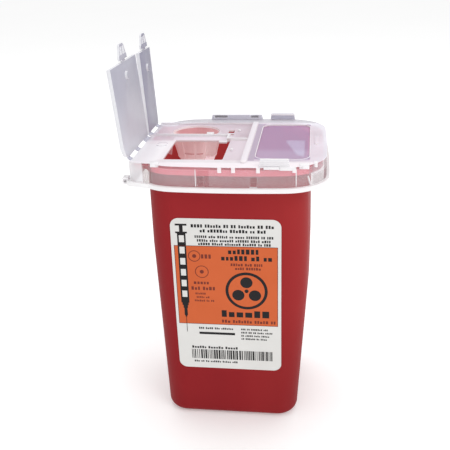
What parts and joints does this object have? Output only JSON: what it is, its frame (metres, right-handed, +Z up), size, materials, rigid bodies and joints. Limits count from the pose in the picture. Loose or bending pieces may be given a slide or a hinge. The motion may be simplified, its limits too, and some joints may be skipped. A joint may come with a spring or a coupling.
{
  "type": "sharps container",
  "caption": "Tapered rigid tub with a press-on translucent lid, twin hinged flaps with locking tongues, a drop opening and a needle cup.",
  "frame": {"origin": "centre of the tub's flat underside", "axes": "+Z up, +X along the labelled front wall away from the flap hinges, +Y from the labelled front wall to the back"},
  "size_m": [0.1088, 0.1012, 0.214],
  "materials": {
    "tub_red": "satin",
    "lid_clear": "translucent satin",
    "flap_clear": "translucent satin",
    "label_film": "printed film"
  },
  "bodies": {
    "container": {"container_body": "tub_red", "front_label": "label_film", "lid_shell": "lid_clear", "needle_cup": "lid_clear", "front_hinge_web_1": "lid_clear", "front_hinge_web_2": "lid_clear", "front_hinge_web_3": "lid_clear", "back_hinge_web_1": "lid_clear", "back_hinge_web_2": "lid_clear", "divider_rib": "lid_clear", "front_latch_post": "lid_clear", "back_latch_post": "lid_clear", "front_grip_tab": "lid_clear", "back_grip_tab": "lid_clear", "back_rail": "lid_clear", "panel_gusset": "lid_clear", "guide_fin": "lid_clear", "drop_catch": "lid_clear", "drop_edge_tab": "lid_clear", "cup_key_tab": "lid_clear", "hinge_lug_front": "lid_clear", "hinge_lug_back": "lid_clear"},
    "front_flap": {"front_flap": "flap_clear"},
    "back_flap": {"back_flap": "flap_clear"},
    "front_tongue": {"front_tongue": "flap_clear"},
    "back_tongue": {"back_tongue": "flap_clear"}
  },
  "joints": [
    {"name": "front_flap_hinge", "type": "hinge", "parent": "container", "child": "front_flap", "pos_m": [-0.0494, -0.015, 0.1588], "axis": [0, 1, 0], "range_deg": [-75, 95]},
    {"name": "back_flap_hinge", "type": "hinge", "parent": "container", "child": "back_flap", "pos_m": [-0.0494, 0.025, 0.1588], "axis": [0, 1, 0], "range_deg": [-75, 93]},
    {"name": "front_tongue_flex", "type": "hinge", "parent": "front_flap", "child": "front_tongue", "pos_m": [-0.05332, -0.0146, 0.20478], "axis": [0, -1, 0], "range_deg": [0, 14], "stiffness_Nm_per_rad": 0.01},
    {"name": "back_tongue_flex", "type": "hinge", "parent": "back_flap", "child": "back_tongue", "pos_m": [-0.05172, 0.025, 0.20489], "axis": [0, -1, 0], "range_deg": [0, 14], "stiffness_Nm_per_rad": 0.01}
  ]
}
